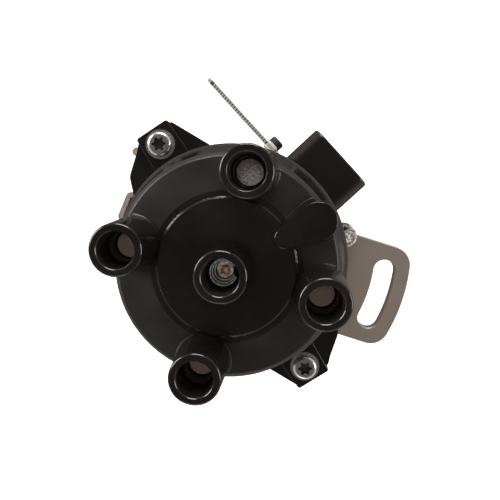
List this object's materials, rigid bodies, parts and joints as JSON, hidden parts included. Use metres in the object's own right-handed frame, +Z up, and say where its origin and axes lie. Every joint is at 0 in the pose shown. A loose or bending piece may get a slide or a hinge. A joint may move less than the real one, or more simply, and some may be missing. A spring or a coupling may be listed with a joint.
{
  "type": "ignition distributor",
  "caption": "Electronic ignition distributor with a towered cap, slotted mounting ear, side connector and tanged drive shaft.",
  "frame": {"origin": "centre of the mounting face, underside of the slotted ear, on the shaft axis", "axes": "+Z up the shaft towards the cap, +X along the middle of the slotted ear"},
  "size_m": [0.1263, 0.1092, 0.1312],
  "materials": {
    "cast_aluminium": "as cast, fine grain",
    "black_bakelite": "moulded, glossy",
    "aluminium_terminal": "turned",
    "brown_phenolic": "moulded",
    "brass": "turned",
    "tinned_copper": "tinned",
    "zinc_steel": "zinc plated",
    "bearing_steel": "ground",
    "black_rubber": "moulded",
    "black_nylon": "moulded",
    "natural_nylon": "moulded, translucent",
    "carbon": "pressed carbon"
  },
  "bodies": {
    "body": {"housing": "cast_aluminium", "o_ring": "black_rubber", "distributor_cap": "black_bakelite", "spark_towers": "black_bakelite", "coil_tower": "black_bakelite", "side_electrodes": "aluminium_terminal", "centre_terminal": "aluminium_terminal", "brush_spring": "bearing_steel", "cap_screws": "zinc_steel", "cap_washers": "zinc_steel", "cap_gasket": "black_rubber", "bearing_outer_race": "bearing_steel", "lower_bush": "brass", "oil_seal": "black_rubber", "bearing_retainer": "zinc_steel", "retainer_screws": "zinc_steel", "base_plate": "zinc_steel", "base_plate_screws": "zinc_steel", "pickup_unit": "black_nylon", "pickup_screws": "zinc_steel", "dust_cover": "black_nylon", "dust_cover_screws": "zinc_steel", "igniter_module": "black_nylon", "heat_sink": "aluminium_terminal", "igniter_screws": "zinc_steel", "connector_housing": "black_nylon", "connector_seal": "black_rubber", "connector_pins": "tinned_copper", "connector_screws": "zinc_steel", "vent_nipple": "brass", "vent_cap": "black_rubber", "cable_tie": "natural_nylon"},
    "shaft_group": {"shaft": "bearing_steel", "rotor_arm": "brown_phenolic", "rotor_screw": "zinc_steel", "rotor_blade": "brass", "coupling_pin": "bearing_steel", "drive_coupling": "bearing_steel", "thrust_washer": "bearing_steel", "bearing_inner_race": "bearing_steel", "sensor_disc": "bearing_steel", "disc_spacers": "brass"},
    "ball_cage": {"bearing_balls": "bearing_steel", "bearing_cage": "bearing_steel"},
    "brush": {"carbon_brush": "carbon"}
  },
  "joints": [
    {"name": "shaft_spin", "type": "hinge", "parent": "body", "child": "shaft_group", "pos_m": [0, 0, 0], "axis": [0, 0, 1], "continuous": true},
    {"name": "cage_spin", "type": "hinge", "parent": "body", "child": "ball_cage", "pos_m": [0, 0, 0.004], "axis": [0, 0, 1], "continuous": true},
    {"name": "brush_slide", "type": "slide", "parent": "body", "child": "brush", "axis": [0, 0, 1], "range_m": [0, 0.0015], "stiffness_N_per_m": 60, "springref_m": -0.002, "deforming": ["brush_spring"]}
  ],
  "couplings": [
    {"joint": "cage_spin", "follows": "shaft_spin", "ratio": 0.3825}
  ]
}
